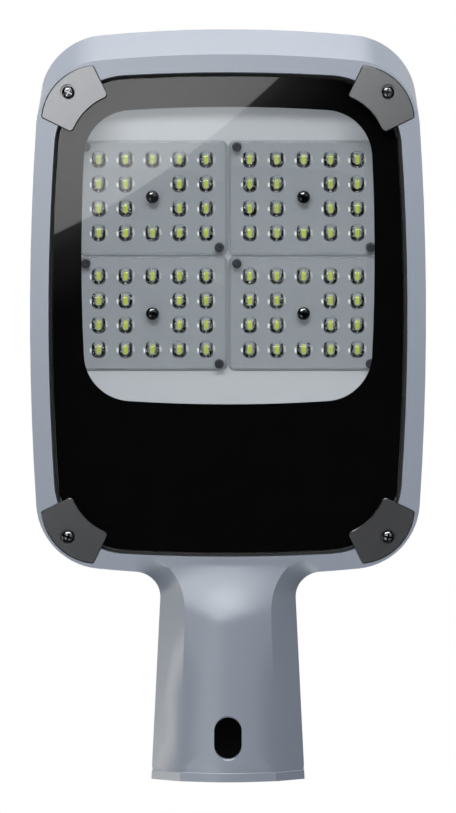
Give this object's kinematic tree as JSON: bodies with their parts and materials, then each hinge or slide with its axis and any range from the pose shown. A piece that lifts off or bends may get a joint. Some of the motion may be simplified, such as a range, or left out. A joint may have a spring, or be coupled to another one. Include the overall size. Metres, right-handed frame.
{
  "type": "led street light head",
  "caption": "Grey-blue LED street light head with flat glass, lens modules, corner clamps and a socket neck.",
  "frame": {"origin": "centre of the arm socket's mouth, on the socket's axis", "axes": "+Y from the mouth along the head to its nose, +Z to the sky, the glass faces -Z, left is -X"},
  "size_m": [0.2456, 0.4679, 0.0852],
  "materials": {
    "grey_blue_paint": "satin powder coat",
    "clear_glass": "polished",
    "black_enamel": "fired print",
    "black_rubber": "matt",
    "clamp_finish": "satin",
    "dark_chrome": "polished",
    "white_plate": "white lacquer",
    "white_board": "solder mask",
    "yellow_phosphor": "matt",
    "clear_lens": "clear moulding",
    "grey_pin": "moulded",
    "zinc_steel": "zinc plated",
    "stainless": "stainless",
    "driver_case": "anodised",
    "white_plastic": "moulded",
    "dark_plastic": "moulded",
    "brass": "turned"
  },
  "bodies": {
    "root": {"housing": "grey_blue_paint", "glass_cover": "clear_glass", "glass_border_print": "black_enamel", "glass_gasket": "black_rubber", "clamp_screws": "dark_chrome", "led_mounting_plate": "white_plate", "plate_screws": "zinc_steel", "module_screws": "dark_chrome", "lens_pins": "grey_pin", "gear_tray": "zinc_steel", "tray_screws": "zinc_steel", "driver": "driver_case", "driver_screws": "zinc_steel", "terminal_block": "white_plastic", "terminal_clamp_screws": "brass", "terminal_block_screws": "zinc_steel", "surge_protector": "dark_plastic", "surge_protector_screws": "zinc_steel", "earth_washer": "zinc_steel", "earth_screw": "brass", "cable_gland_body": "dark_plastic", "cable_gland_seal": "black_rubber", "cable_gland_nut": "dark_plastic", "cable_gland_locknut": "dark_plastic", "breather": "dark_plastic", "arm_set_screws": "stainless", "set_screw_jam_nuts": "stainless", "corner_clamp_front_left": "clamp_finish", "led_board_front_left": "white_board", "led_packages_front_left": "yellow_phosphor", "lens_plate_front_left": "clear_lens", "corner_clamp_front_right": "clamp_finish", "led_board_front_right": "white_board", "led_packages_front_right": "yellow_phosphor", "lens_plate_front_right": "clear_lens", "corner_clamp_rear_left": "clamp_finish", "led_board_rear_left": "white_board", "led_packages_rear_left": "yellow_phosphor", "lens_plate_rear_left": "clear_lens", "corner_clamp_rear_right": "clamp_finish", "led_board_rear_right": "white_board", "led_packages_rear_right": "yellow_phosphor", "lens_plate_rear_right": "clear_lens"}
  },
  "joints": []
}
